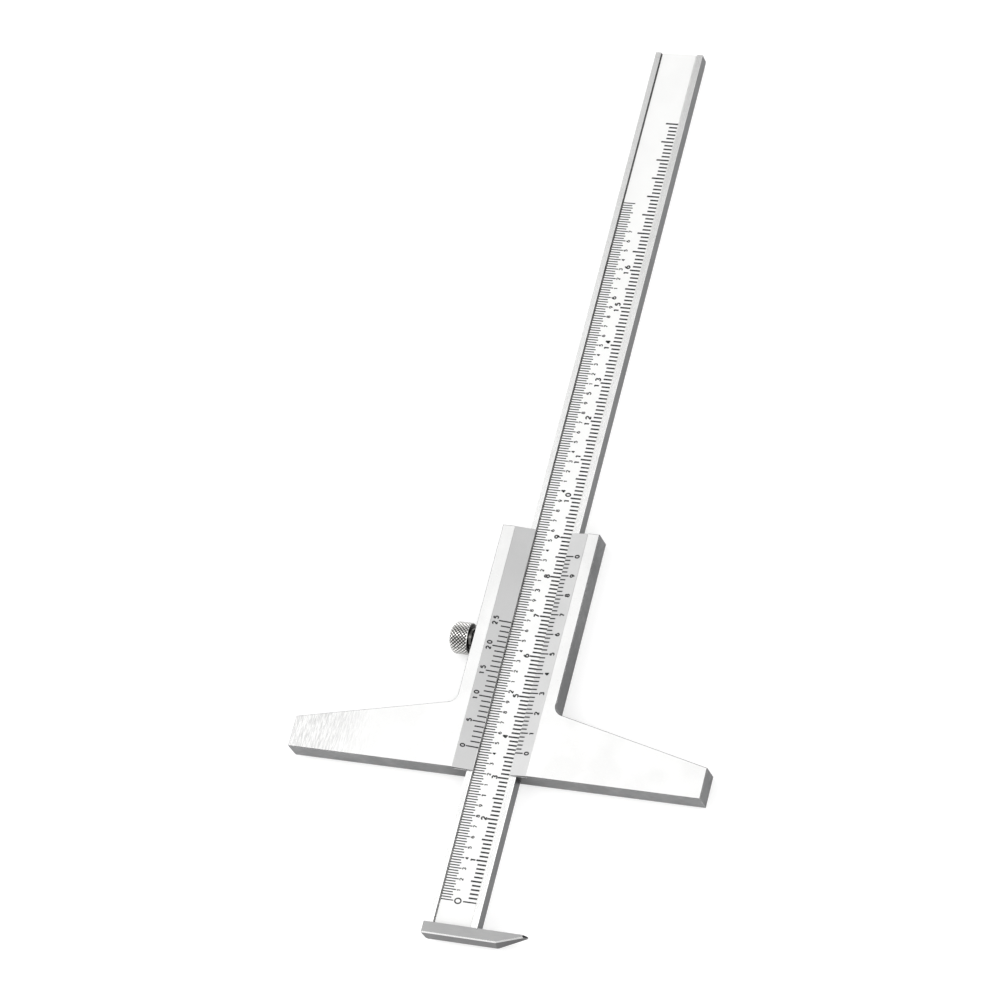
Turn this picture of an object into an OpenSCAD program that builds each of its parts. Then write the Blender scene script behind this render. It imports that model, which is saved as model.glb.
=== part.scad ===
// Vernier depth gauge with a hooked beam, lying on its back.
// X runs along the measuring base, Y up the beam, Z out of the graduated face.
// The origin is where the beam's centreline meets the measuring face and the back face.

/* [Base] */
// Length of the measuring base from end to end
base_length = 100; // [80:1:150]
// Height of the base at its two ends
base_end_height = 7.5; // [6:0.5:10]
// Height of the base where it meets the frame
base_root_height = 16; // [13:0.5:22]
// Thickness of base and frame, which are one piece
body_thickness = 6; // [5.6:0.1:7]
// Radius of the fillets between base and frame
fillet_radius = 2.5; // [1:0.5:4]
// Chamfer on the front edges
front_chamfer = 0.15; // [0.1:0.05:0.3]
// Chamfer on the back edges
back_chamfer = 0.6; // [0.2:0.1:0.8]

/* [Frame] */
// Height of the frame above the measuring face
frame_height = 60.5; // [56:0.5:80]
// Width of the flat land left of the inch plate
left_land = 3.1; // [2.6:0.1:5]
// Width of the flat land right of the metric plate
right_land = 2.8; // [2:0.1:4]

/* [Vernier plates] */
// Width of the inch vernier plate
inch_plate_width = 4.9; // [4.6:0.1:6]
// Width of the metric vernier plate
metric_plate_width = 4.2; // [4:0.1:6]
// Thickness of a plate at its outer edge, where it is flush with the land
plate_thickness = 1.05; // [0.9:0.05:1.2]
// Thickness of a plate at its bevelled reading edge
plate_edge = 0.3; // [0.2:0.05:0.5]
// How far a plate's reading edge reaches past the beam's rail
plate_overlap = 0.15; // [0.1:0.05:0.3]

/* [Beam] */
// Width of the beam
beam_width = 12; // [10.5:0.5:16]
// Thickness of the beam over its rails
beam_thickness = 3.5; // [3:0.1:3.8]
// Width of each raised rail
rail_width = 1.4; // [1.2:0.1:2]
// Height of the rails above the graduated face
rail_step = 0.35; // [0.2:0.05:0.5]
// Width of the relief groove at the foot of each rail
relief_width = 0.3; // [0.2:0.05:0.5]
// Depth of the relief groove below the graduated face
relief_depth = 0.25; // [0.1:0.05:0.4]
// Greatest depth that the gauge measures
depth_range = 150; // [100:1:200]
// Depth that the gauge shows here
depth_shown = 36.5; // [5:0.1:95]
// Beam left above the frame at the greatest depth
beam_spare = 14.7; // [8:0.1:30]

/* [Hook] */
// Height of the hook foot along the beam
hook_height = 2.7; // [2.2:0.1:4]
// Reach of the hook's nose past the beam
hook_reach = 12; // [8:0.1:16]
// Reach of the hook's heel past the beam's other edge
hook_heel = 0.7; // [0.3:0.1:2]
// Depth of the hook foot, front to back
hook_depth = 4.5; // [4:0.1:4.7]
// Length of the slanted underside of the nose, at the front
nose_run = 6.7; // [4:0.1:8]
// How much sooner the slant starts at the back
nose_skew = 1; // [0.5:0.1:1.2]
// Length over which the nose narrows from the back
nose_taper = 7.4; // [5:0.1:8]
// How much depth the nose has lost at its tip, at the back
nose_back_loss = 2.95; // [1.5:0.05:3]
// How much depth it has lost there at the front
nose_front_loss = 1.05; // [0.5:0.05:1.2]
// Height of the blunt tip of the nose
nose_tip = 0.35; // [0.2:0.05:0.6]
// Width of the relief groove between the beam and the nose
hook_relief_width = 0.4; // [0.2:0.1:0.8]
// Depth of that groove
hook_relief_depth = 0.25; // [0.1:0.05:0.4]
// Diameter of the two dowel pins that hold the foot on the beam
pin_diameter = 1; // [0.8:0.1:1.2]

/* [Lock screw] */
// Diameter of the knurled knob
knob_diameter = 7.5; // [6:0.1:9]
// Length of the knob's head
knob_length = 4.6; // [3.5:0.1:7]
// Gap between the knob's head and the frame when it is tight
knob_gap = 1.2; // [1.2:0.1:2.5]
// Rounding of the knob's outer edge
knob_edge = 1.3; // [0.4:0.1:1.4]
// Height of the lock screw above the measuring face
lock_height = 32.4; // [28:0.1:36]
// Diameter of the lock screw's stud
stud_diameter = 2.4; // [2:0.1:2.5]

/* [Gib] */
// Thickness of the gib that takes up play at the beam's left edge
gib_thickness = 1; // [0.8:0.1:1.3]
// Thickness of the leaf spring behind the gib
leaf_thickness = 0.25; // [0.2:0.05:0.35]
// How far the leaf spring is bowed
leaf_rise = 0.75; // [0.6:0.05:0.9]

/* [Screws] */
// Diameter of the screws that hold the inch plate
inch_screw_diameter = 2; // [1.6:0.1:2.2]
// Diameter of the screws that hold the metric plate
metric_screw_diameter = 1.6; // [1.4:0.1:1.7]
// Distance of the plate screws from the frame's two ends
screw_inset = 4; // [3.5:0.1:5]
// Diameter of the stop screw's head on the back of the beam
stop_head_diameter = 3.6; // [3:0.1:4.5]

/* [Hidden] */
$fn = 64;

// Clearances and the overrun of cuts
slide_gap = 0.05;
seat_gap = 0.02;
guide_gap = 0.15;
swivel_gap = 0.05;
overrun = 1;

// The beam's section and the places along it
half_beam = beam_width / 2;
plate_seat = body_thickness - plate_thickness;
beam_front = plate_seat - slide_gap;
beam_back = beam_front - beam_thickness;
beam_middle = (beam_front + beam_back) / 2;
graduated_face = beam_front - rail_step;
half_face = half_beam - rail_width;
hook_top = -depth_shown;
beam_length = frame_height + depth_range + beam_spare;
beam_end_chamfer = 0.4;

// A fillet's centre lies this much nearer than its radius, so that its arc crosses the straight sides
fillet_sink = 0.05;
fillet_reach = fillet_radius - fillet_sink;
bevel_overlap = 6;
cut_margin = 0.3;

// The frame's channel, plate seats and gib pocket
channel_floor = beam_back - slide_gap;
channel_right = half_beam + slide_gap;
channel_left = half_beam + guide_gap;
plate_inner = half_face - plate_overlap;
inch_outer = plate_inner + inch_plate_width;
metric_outer = plate_inner + metric_plate_width;
frame_left = inch_outer + left_land;
frame_right = metric_outer + right_land;
plate_inset = 0.1;
pocket_inset = 7.5;
pocket_left = half_beam + slide_gap + gib_thickness + seat_gap + leaf_thickness + leaf_rise + seat_gap;
pocket_length = frame_height - 2 * pocket_inset;

// The hook foot and its tenon joint
nose_x = half_beam + hook_reach;
heel_x = half_beam + hook_heel;
foot_back = beam_middle - hook_depth / 2;
tenon_shoulder = 1.2;
tenon_width = beam_width - 2 * tenon_shoulder;
tenon_thickness = 1.6;
tenon_floor = 0.8;
tenon_length = hook_height - tenon_floor;
pin_edge = 1.5;
pin_spacing = tenon_width - 2 * pin_edge;
pin_end_wall = 0.9;
foot_chamfer = 0.25;
heel_rounding = 1.2;
nose_front_run = 0.9;

// The slant runs through three points: its start at the front, its start at the back and the tip's lower edge
nose_rise = hook_height - nose_tip;
tip_depth = (hook_depth + nose_front_loss - nose_back_loss) / 2;
slant_normal = cross([-nose_skew, 0, -hook_depth], [nose_run, nose_rise, -tip_depth]);
slant_angle = atan2(slant_normal.x, -slant_normal.y);
slant_tilt = asin(-slant_normal.z / norm(slant_normal));

// The lock screw's parts, measured leftwards from the beam's centreline
gib_back = half_beam + slide_gap + gib_thickness;
leaf_inner = gib_back + seat_gap;
leaf_outer = leaf_inner + leaf_thickness;
pad_face = leaf_outer + swivel_gap;
pad_length = 0.8;
pad_clearance = 0.1;
pad_diameter = stud_diameter - 2 * pad_clearance;
pad_bore_depth = 0.5;
stud_shoulder = pad_face + pad_length + swivel_gap;
stud_nose_diameter = 1.2;
stud_nose_length = pad_bore_depth;
knob_face = frame_left + knob_gap;
knob_crown = 1.2;
stud_grip = knob_length - knob_crown;
stud_end = knob_face + stud_grip;
neck_clearance = 0.6;
neck_length = knob_gap - neck_clearance;
neck_diameter = 4.8;
knob_inner_chamfer = 0.2;

// The leaf spring's flats, the gib's ends and the screws
leaf_flat = 6;
leaf_foot = 3;
leaf_end_gap = 0.4;
gib_end_gap = 0.1;
gib_relief = 0.1;
gib_height = beam_thickness - 2 * gib_relief;
leaf_relief = 0.3;
leaf_height = beam_thickness - 2 * leaf_relief;
screw_bite = 0.5;
head_recess = 0.1;
head_rim = 0.1;
head_share = 1.8;
slot_width = 0.4;
slot_depth = 0.35;
inch_screw_x = -(channel_left + inch_outer) / 2;
metric_screw_x = (channel_right + metric_outer) / 2;
stop_head_height = 0.55;
stop_head_edge = 0.12;
stop_stud_diameter = 2;
stop_stud_length = 1.8;
stop_overtravel = 1;
stop_height = depth_range + stop_overtravel + frame_height + stop_head_diameter / 2;

// A prism with its outline in X and Z, running from y_from to y_to along Y
module along_y(y_from, y_to) {
    translate([0, y_to, 0]) rotate([90, 0, 0]) linear_extrude(y_to - y_from) children();
}

// Turns a shape made along Z so that it runs leftwards from x_from on the lock screw's axis
module leftwards(x_from) {
    translate([-x_from, lock_height, beam_middle]) rotate([0, -90, 0]) children();
}

// The section of a chamfer's cut: solid lies past edge_x, and facing is 1 on a front edge, -1 on a back one
module chamfer_section(edge_x, facing, chamfer) {
    polygon([
        [edge_x + chamfer + cut_margin, facing * cut_margin],
        [edge_x - cut_margin, -facing * (chamfer + cut_margin)],
        [edge_x - cut_margin, facing * cut_margin]
    ]);
}

// Takes the chamfer off a straight edge that runs from p to q at height z with the solid on its left
module edge_cut(p, q, z, facing, chamfer, p_overrun = overrun, q_overrun = overrun) {
    translate([p.x, p.y, z])
        rotate([0, 0, atan2(q.y - p.y, q.x - p.x)])
            translate([-p_overrun, 0, 0]) rotate([90, 0, 90])
                linear_extrude(norm(q - p) + p_overrun + q_overrun) chamfer_section(0, facing, chamfer);
}

// The slope of a wing on a side whose frame wall is at frame_x, and its fillet's centre
function wing_slope(frame_x) = atan2(base_root_height - base_end_height, base_length / 2 - frame_x);
function fillet_centre(frame_x) = [
    frame_x + fillet_reach,
    base_root_height + fillet_reach * (1 / cos(wing_slope(frame_x)) - tan(wing_slope(frame_x)))
];

// Fills the inner corner between a wing and the frame, leaving a round fillet
module fillet_fill(frame_x) {
    centre = fillet_centre(frame_x);
    slope = wing_slope(frame_x);
    normal = [sin(slope), cos(slope)];
    difference() {
        polygon([
            [frame_x - overrun, centre.y],
            centre,
            centre - (fillet_radius + overrun) * normal,
            [frame_x - overrun, base_root_height - overrun]
        ]);
        translate(centre) circle(fillet_radius);
    }
}

// The uncut body: the base's two wings, the frame above them and the fillets between
module body_blank() {
    half = base_length / 2;
    linear_extrude(body_thickness)
        polygon([
            [-half, 0], [half, 0], [half, base_end_height], [frame_right, base_root_height],
            [frame_right, frame_height], [-frame_left, frame_height], [-frame_left, base_root_height],
            [-half, base_end_height]
        ]);
    linear_extrude(body_thickness) fillet_fill(frame_right);
    mirror([1, 0, 0]) linear_extrude(body_thickness) fillet_fill(frame_left);
}

// Takes the chamfer off a fillet's edge, from the frame wall to the wing's slope
module fillet_cut(frame_x, z, facing, chamfer) {
    slope = wing_slope(frame_x);
    translate([fillet_centre(frame_x).x, fillet_centre(frame_x).y, z])
        rotate([0, 0, 180 - bevel_overlap])
            rotate_extrude(angle = 90 - slope + 2 * bevel_overlap)
                chamfer_section(fillet_radius, facing, chamfer);
}

// The chamfers of one wing and of the frame wall beside it
module side_bevels(frame_x, z, facing, chamfer) {
    half = base_length / 2;
    centre = fillet_centre(frame_x);
    slope = wing_slope(frame_x);
    foot = centre - fillet_reach * [sin(slope), cos(slope)];
    edge_cut([half, 0], [half, base_end_height], z, facing, chamfer);
    edge_cut([half, base_end_height], foot, z, facing, chamfer, overrun, 0);
    edge_cut([frame_x, centre.y], [frame_x, frame_height], z, facing, chamfer, 0, overrun);
    fillet_cut(frame_x, z, facing, chamfer);
}

// Every outer chamfer of the body at height z
module body_bevels(z, facing, chamfer) {
    half = base_length / 2;
    edge_cut([-half, 0], [half, 0], z, facing, chamfer);
    edge_cut([frame_right, frame_height], [-frame_left, frame_height], z, facing, chamfer);
    side_bevels(frame_right, z, facing, chamfer);
    mirror([1, 0, 0]) side_bevels(frame_left, z, facing, chamfer);
}

// Places something at both ends of a plate, over its screws
module at_plate_screws(x) {
    for (y = [screw_inset, frame_height - screw_inset]) translate([x, y, 0]) children();
}

// The clearance hole and countersink of a plate screw, from the back
module screw_hole(diameter) {
    head = diameter * head_share / 2 + seat_gap;
    translate([0, 0, -overrun]) cylinder(h = plate_seat + 2 * overrun, d = diameter + 2 * swivel_gap);
    translate([0, 0, head_recess + head_rim])
        cylinder(h = head - diameter / 2, r1 = head, r2 = diameter / 2);
    translate([0, 0, -overrun]) cylinder(h = overrun + head_recess + head_rim, r = head);
}

// A countersunk slotted screw whose head lies in the back face
module plate_screw(diameter) {
    head = diameter * head_share / 2;
    shank = plate_seat + screw_bite - head_recess;
    translate([0, 0, head_recess]) difference() {
        union() {
            cylinder(h = shank, d = diameter);
            cylinder(h = head_rim, r = head);
            translate([0, 0, head_rim]) cylinder(h = head - diameter / 2, r1 = head, r2 = diameter / 2);
        }
        translate([-head - overrun, -slot_width / 2, -overrun])
            cube([2 * (head + overrun), slot_width, overrun + slot_depth]);
    }
}

// Base and frame in one piece, with the beam's channel, the plate seats and the gib pocket
module base_frame() {
    color([0.93, 0.93, 0.93]) difference() {
        body_blank();
        along_y(-overrun, frame_height + overrun)
            polygon([
                [-channel_left, channel_floor], [channel_right, channel_floor], [channel_right, plate_seat],
                [metric_outer + seat_gap, plate_seat], [metric_outer + seat_gap, body_thickness + overrun],
                [-inch_outer - seat_gap, body_thickness + overrun], [-inch_outer - seat_gap, plate_seat],
                [-channel_left, plate_seat]
            ]);
        translate([-pocket_left, pocket_inset, channel_floor])
            cube([pocket_left - channel_left + overrun, pocket_length, plate_seat - channel_floor + overrun]);
        leftwards(channel_left) cylinder(h = frame_left - channel_left + overrun, d = stud_diameter + 2 * swivel_gap);
        at_plate_screws(inch_screw_x) screw_hole(inch_screw_diameter);
        at_plate_screws(metric_screw_x) screw_hole(metric_screw_diameter);
        body_bevels(0, -1, back_chamfer);
        body_bevels(body_thickness, 1, front_chamfer);
    }
}

// A wedge-shaped plate on its seat, thin at the reading edge beside the graduated face
module vernier_plate(outer, screw_x, screw_diameter) {
    difference() {
        along_y(plate_inset, frame_height - plate_inset)
            polygon([
                [plate_inner, plate_seat], [outer, plate_seat], [outer, body_thickness],
                [plate_inner, plate_seat + plate_edge]
            ]);
        at_plate_screws(screw_x)
            translate([0, 0, plate_seat - overrun]) cylinder(h = overrun + screw_bite, d = screw_diameter);
    }
}

// Left plate, which carries the inch vernier
module inch_vernier_plate() {
    color([0.76, 0.76, 0.77])
        mirror([1, 0, 0]) vernier_plate(inch_outer, -inch_screw_x, inch_screw_diameter);
}

// Right plate, which carries the metric vernier
module metric_vernier_plate() {
    color([0.84, 0.84, 0.85]) vernier_plate(metric_outer, metric_screw_x, metric_screw_diameter);
}

// Two screws from the back into the inch plate
module inch_plate_screws() {
    color([0.6, 0.6, 0.62]) at_plate_screws(inch_screw_x) plate_screw(inch_screw_diameter);
}

// Two screws from the back into the metric plate
module metric_plate_screws() {
    color([0.6, 0.6, 0.62]) at_plate_screws(metric_screw_x) plate_screw(metric_screw_diameter);
}

// Brass strip that guides the beam's left edge
module gib_strip() {
    color([0.78, 0.62, 0.32])
        translate([-gib_back, pocket_inset + gib_end_gap, beam_middle - gib_height / 2])
            cube([gib_thickness, pocket_length - 2 * gib_end_gap, gib_height]);
}

// Formed strip between the pocket's wall and the gib: its feet bear on the wall, its middle on the gib
module leaf_spring() {
    wall_side = pocket_left - seat_gap;
    low = pocket_inset + leaf_end_gap;
    high = frame_height - pocket_inset - leaf_end_gap;
    color([0.72, 0.74, 0.78])
        translate([0, 0, beam_middle - leaf_height / 2]) linear_extrude(leaf_height)
            polygon([
                [-wall_side, low], [-wall_side, low + leaf_foot],
                [-leaf_outer, lock_height - leaf_flat / 2], [-leaf_outer, lock_height + leaf_flat / 2],
                [-wall_side, high - leaf_foot], [-wall_side, high],
                [-wall_side + leaf_thickness, high], [-wall_side + leaf_thickness, high - leaf_foot],
                [-leaf_inner, lock_height + leaf_flat / 2], [-leaf_inner, lock_height - leaf_flat / 2],
                [-wall_side + leaf_thickness, low + leaf_foot], [-wall_side + leaf_thickness, low]
            ]);
}

// The beam's section: two raised rails and relief grooves beside the graduated face
module beam_section() {
    groove = half_face - relief_width;
    groove_floor = graduated_face - relief_depth;
    polygon([
        [-half_beam, beam_back], [half_beam, beam_back], [half_beam, beam_front],
        [half_face, beam_front], [half_face, groove_floor], [groove, groove_floor], [groove, graduated_face],
        [-groove, graduated_face], [-groove, groove_floor], [-half_face, groove_floor],
        [-half_face, beam_front], [-half_beam, beam_front]
    ]);
}

// Places something at both dowel pins of the hook foot, on the foot's back face
module at_hook_pins() {
    for (side = [-1, 1])
        translate([side * pin_spacing / 2, hook_top - tenon_length / 2, foot_back]) children();
}

// The beam: ground rails, graduated face, a tenon below and the hole of its stop screw
module main_beam() {
    beam_top = hook_top + beam_length;
    color([0.95, 0.95, 0.94]) difference() {
        union() {
            along_y(hook_top, beam_top) beam_section();
            translate([-tenon_width / 2, hook_top - tenon_length, beam_middle - tenon_thickness / 2])
                cube([tenon_width, tenon_length + overrun, tenon_thickness]);
        }
        edge_cut([half_beam, beam_top], [-half_beam, beam_top], beam_back, -1, beam_end_chamfer);
        at_hook_pins() cylinder(h = hook_depth - pin_end_wall, d = pin_diameter);
        translate([0, hook_top + stop_height, beam_back - overrun])
            cylinder(h = stop_stud_length + overrun, d = stop_stud_diameter);
    }
}

// What the foot loses in plan: the heel's round back corner and both sides of the pointed nose
module foot_outline_cut() {
    foot_front = foot_back + hook_depth;
    difference() {
        translate([-heel_x - overrun, foot_back - overrun]) square(heel_rounding + overrun);
        translate([-heel_x + heel_rounding, foot_back + heel_rounding]) circle(heel_rounding);
    }
    polygon([
        [nose_x - nose_taper, foot_back], [nose_x - nose_taper, foot_back - overrun],
        [nose_x + overrun, foot_back - overrun], [nose_x + overrun, foot_back + nose_back_loss],
        [nose_x, foot_back + nose_back_loss]
    ]);
    polygon([
        [nose_x - nose_front_run, foot_front], [nose_x, foot_front - nose_front_loss],
        [nose_x + overrun, foot_front - nose_front_loss], [nose_x + overrun, foot_front + overrun],
        [nose_x - nose_front_run, foot_front + overrun]
    ]);
}

// The hooked foot across the beam's lower end, with a relief groove where the nose's face meets the beam
module hook_foot() {
    bottom = hook_top - hook_height;
    foot_front = foot_back + hook_depth;
    slope_start = [nose_x - nose_run, bottom];
    slope_end = slope_start + nose_run * [1, tan(slant_angle)];
    color([0.72, 0.72, 0.72]) difference() {
        translate([-heel_x, bottom, foot_back]) cube([heel_x + nose_x, hook_height, hook_depth]);
        translate([slope_start.x, bottom, foot_front]) rotate([0, 0, slant_angle]) rotate([slant_tilt, 0, 0])
            translate([-nose_run, -2 * hook_height, -2 * hook_depth])
                cube([3 * nose_run, 2 * hook_height, 3 * hook_depth]);
        translate([-tenon_width / 2, hook_top - tenon_length, beam_middle - tenon_thickness / 2])
            cube([tenon_width, tenon_length + overrun, tenon_thickness]);
        translate([half_beam, hook_top - hook_relief_depth, foot_back - overrun])
            cube([hook_relief_width, hook_relief_depth + overrun, hook_depth + 2 * overrun]);
        at_hook_pins() translate([0, 0, -overrun])
            cylinder(h = hook_depth - pin_end_wall + overrun, d = pin_diameter);
        along_y(bottom - overrun, hook_top + overrun) foot_outline_cut();
        edge_cut([-heel_x, bottom], slope_start, foot_back, -1, foot_chamfer);
        edge_cut([-heel_x, bottom], slope_start, foot_front, 1, foot_chamfer);
        edge_cut(slope_start, slope_end, foot_front, 1, foot_chamfer);
        edge_cut([-heel_x, hook_top], [-heel_x, bottom], foot_front, 1, foot_chamfer);
    }
}

// Two dowel pins through the foot and the beam's tenon, pressed in from the back
module hook_pins() {
    color([0.55, 0.55, 0.57]) at_hook_pins() cylinder(h = hook_depth - pin_end_wall, d = pin_diameter);
}

// Low screw on the beam's back that meets the frame's upper end at the greatest depth
module beam_stop_screw() {
    radius = stop_head_diameter / 2;
    color([0.6, 0.6, 0.62]) translate([0, hook_top + stop_height, beam_back]) difference() {
        union() {
            cylinder(h = stop_stud_length, d = stop_stud_diameter);
            translate([0, 0, -stop_head_height + stop_head_edge])
                cylinder(h = stop_head_height - stop_head_edge, r = radius);
            translate([0, 0, -stop_head_height])
                cylinder(h = stop_head_edge, r1 = radius - stop_head_edge, r2 = radius);
        }
        translate([-radius - overrun, -slot_width / 2, -stop_head_height - overrun])
            cube([2 * (radius + overrun), slot_width, overrun + slot_depth]);
    }
}

// Brass pad on the stud's nose, which presses the leaf spring and the gib against the beam
module clamp_pad() {
    color([0.78, 0.62, 0.32]) leftwards(pad_face) difference() {
        cylinder(h = pad_length, d = pad_diameter);
        translate([0, 0, pad_length - pad_bore_depth])
            cylinder(h = pad_bore_depth + overrun, d = stud_nose_diameter + 2 * swivel_gap);
    }
}

// The lock screw's stud, from its nose in the pad to its end in the knob
module lock_stud() {
    color([0.55, 0.55, 0.57]) {
        leftwards(stud_shoulder) cylinder(h = stud_end - stud_shoulder, d = stud_diameter);
        leftwards(stud_shoulder - stud_nose_length) cylinder(h = stud_nose_length, d = stud_nose_diameter);
    }
}

// Half of the knob's section: radius to the right, length upwards from the neck's end
module knob_profile() {
    radius = knob_diameter / 2;
    translate([0, neck_length]) {
        polygon([
            [0, 0], [radius - knob_inner_chamfer, 0], [radius, knob_inner_chamfer],
            [radius, knob_length - knob_edge], [0, knob_length - knob_edge]
        ]);
        square([radius - knob_edge, knob_length]);
        translate([radius - knob_edge, knob_length - knob_edge]) intersection() {
            circle(knob_edge);
            square(knob_edge);
        }
    }
    square([neck_diameter / 2, neck_length + knob_inner_chamfer]);
}

// Knurled knob with a neck and a blind bore for the stud
module lock_knob() {
    color([0.7, 0.69, 0.66]) leftwards(knob_face - neck_length) difference() {
        rotate_extrude() knob_profile();
        translate([0, 0, -overrun]) cylinder(h = overrun + neck_length + stud_grip, d = stud_diameter);
    }
}

base_frame();
inch_vernier_plate();
metric_vernier_plate();
inch_plate_screws();
metric_plate_screws();
gib_strip();
leaf_spring();
main_beam();
hook_foot();
hook_pins();
beam_stop_screw();
clamp_pad();
lock_stud();
lock_knob();
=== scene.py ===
import math

import bmesh
import bpy
import numpy as np
from mathutils import Matrix, Vector


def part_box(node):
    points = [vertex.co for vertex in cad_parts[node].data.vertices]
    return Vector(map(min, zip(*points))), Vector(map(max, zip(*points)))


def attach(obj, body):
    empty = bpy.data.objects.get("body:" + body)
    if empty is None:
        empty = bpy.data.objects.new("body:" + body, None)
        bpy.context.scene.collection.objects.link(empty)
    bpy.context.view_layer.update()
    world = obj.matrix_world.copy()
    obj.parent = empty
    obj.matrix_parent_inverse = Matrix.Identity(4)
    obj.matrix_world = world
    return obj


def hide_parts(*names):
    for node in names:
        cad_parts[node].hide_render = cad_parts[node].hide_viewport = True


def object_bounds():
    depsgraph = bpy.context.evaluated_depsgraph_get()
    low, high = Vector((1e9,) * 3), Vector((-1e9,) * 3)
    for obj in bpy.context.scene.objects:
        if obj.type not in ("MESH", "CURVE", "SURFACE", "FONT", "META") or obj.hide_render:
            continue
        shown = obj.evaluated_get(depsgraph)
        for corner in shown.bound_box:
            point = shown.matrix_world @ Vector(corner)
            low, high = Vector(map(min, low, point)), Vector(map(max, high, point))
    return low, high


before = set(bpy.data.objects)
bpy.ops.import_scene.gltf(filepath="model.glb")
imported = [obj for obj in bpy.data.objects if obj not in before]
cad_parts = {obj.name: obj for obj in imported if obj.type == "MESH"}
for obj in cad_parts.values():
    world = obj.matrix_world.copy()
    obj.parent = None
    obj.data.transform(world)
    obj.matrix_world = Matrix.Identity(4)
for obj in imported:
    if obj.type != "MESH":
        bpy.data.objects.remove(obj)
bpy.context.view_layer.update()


# Base and frame. One T-shaped piece of stainless steel, milled, hardened and ground. The front and
# the back are ground bright. The milled walls are rougher, and their darker colour is painted shade,
# darker still on walls facing along X, with a painted shadow beside the beam. The broken edges carry
# a painted highlight, and the front's far left end shows strokes of the last grinding pass.
MM = 0.001
STEEL_BRIGHT = (0.855, 0.855, 0.85)
STEEL_WALL_SHADED = (0.22, 0.222, 0.225)
STEEL_SIDE_SHADED = (0.184, 0.186, 0.189)
STEEL_EDGE_HIGHLIGHT = (0.92, 0.92, 0.915)
HANDLING_CYCLES = 130.0
MERGE_DISTANCE = 0.001 * MM
SAME_FLAT, TRUE_EDGE = math.radians(0.5), math.radians(25)
EDGE_BREAK = 0.05 * MM
STROKES_FROM, STROKES_TO = -45 * MM, -27 * MM
STROKE_CYCLES = (5600, 450, 450)
STROKE_SLANT = math.radians(-7)
STROKE_STRENGTH = 0.29
# Painted shadow on the milled walls beside the beam: darker within this reach of it.
BEAM_SHADOW_REACH = (6 * MM, 14 * MM)
BEAM_SHADOW_LEVEL = 0.5


def shade(tree, kind, label, **inputs):
    """Adds a node and sets its inputs, by name or as s0, s1 by place: a value is set on the input, and
    another node's output is linked to it."""
    node = tree.nodes.new(kind)
    node.label = label
    for socket, value in inputs.items():
        by_place = socket[0] == "s" and socket[1:].isdigit()
        target = node.inputs[int(socket[1:]) if by_place else socket]
        if isinstance(value, bpy.types.NodeSocket):
            tree.links.new(value, target)
        else:
            target.default_value = value
    return node


def maths(tree, operation, label, first, second=None):
    """The result of a Math node. Each side is a number or another node's output."""
    sides = {"s0": first} if second is None else {"s0": first, "s1": second}
    node = shade(tree, "ShaderNodeMath", label, **sides)
    node.operation = operation
    return node.outputs[0]


def spread(tree, value, low, high, out_low, out_high, smooth=True):
    """Carries value from low..high to out_low..out_high, held at the ends, with a smooth step between or
    else a straight line."""
    node = tree.nodes.new("ShaderNodeMapRange")
    node.interpolation_type = "SMOOTHSTEP" if smooth else "LINEAR"
    tree.links.new(value, node.inputs["Value"])
    limits = {"From Min": low, "From Max": high, "To Min": out_low, "To Max": out_high}
    for socket, number in limits.items():
        node.inputs[socket].default_value = number
    return node.outputs["Result"]


def scaled_colour(tree, label, colour, share):
    """The product of colour, a value or a node's output, and share, a node's output."""
    node = shade(tree, "ShaderNodeVectorMath", label, s0=colour)
    node.operation = "SCALE"
    tree.links.new(share, node.inputs["Scale"])
    return node.outputs[0]


def dim(tree, label, share):
    """Scales the colour that reaches the surface by share."""
    colour = tree.nodes["Principled BSDF"].inputs["Base Color"]
    tree.links.new(scaled_colour(tree, label, colour.links[0].from_socket, share), colour)


def worked_metal(name, colour, roughness, grain, contrast=0.08, depth=0.4e-6, metallic=1.0,
                 clouds=0.05):
    """A worked metal surface. Its colour is colour (1 - contrast n) (1 - clouds m): n is noise with grain
    cycles per metre along X, Y and Z, so that it draws out into lines where a number is small, and m is
    a slow noise of handling marks. n also sets the height, depth metres at most, and the roughness."""
    material = bpy.data.materials.new(name)
    material.use_nodes = True
    tree = material.node_tree
    surface = tree.nodes["Principled BSDF"]
    surface.inputs["Metallic"].default_value = metallic
    place = tree.nodes.new("ShaderNodeTexCoord").outputs["Object"]
    lines = shade(tree, "ShaderNodeMapping", "grain direction", Vector=place, Scale=grain)
    noise = shade(tree, "ShaderNodeTexNoise", "grain",
                  Vector=lines.outputs[0], Scale=1.0, Detail=3.0, Roughness=0.6)
    slow = shade(tree, "ShaderNodeTexNoise", "handling", Vector=place, Scale=HANDLING_CYCLES, Detail=2.0)
    grain_share = spread(tree, noise.outputs["Fac"], 0.3, 0.7, 1.0, 1.0 - contrast, smooth=False)
    cloud_share = spread(tree, slow.outputs["Fac"], 0.35, 0.65, 1.0, 1.0 - clouds)
    share = maths(tree, "MULTIPLY", "grain and handling", grain_share, cloud_share)
    tree.links.new(scaled_colour(tree, "worked colour", colour, share), surface.inputs["Base Color"])
    rough = spread(tree, noise.outputs["Fac"], 0.3, 0.7, roughness * 0.88, roughness * 1.12, smooth=False)
    tree.links.new(rough, surface.inputs["Roughness"])
    bump = shade(tree, "ShaderNodeBump", "grain height",
                 Strength=1.0, Distance=depth, Height=noise.outputs["Fac"])
    tree.links.new(bump.outputs[0], surface.inputs["Normal"])
    return material


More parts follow.
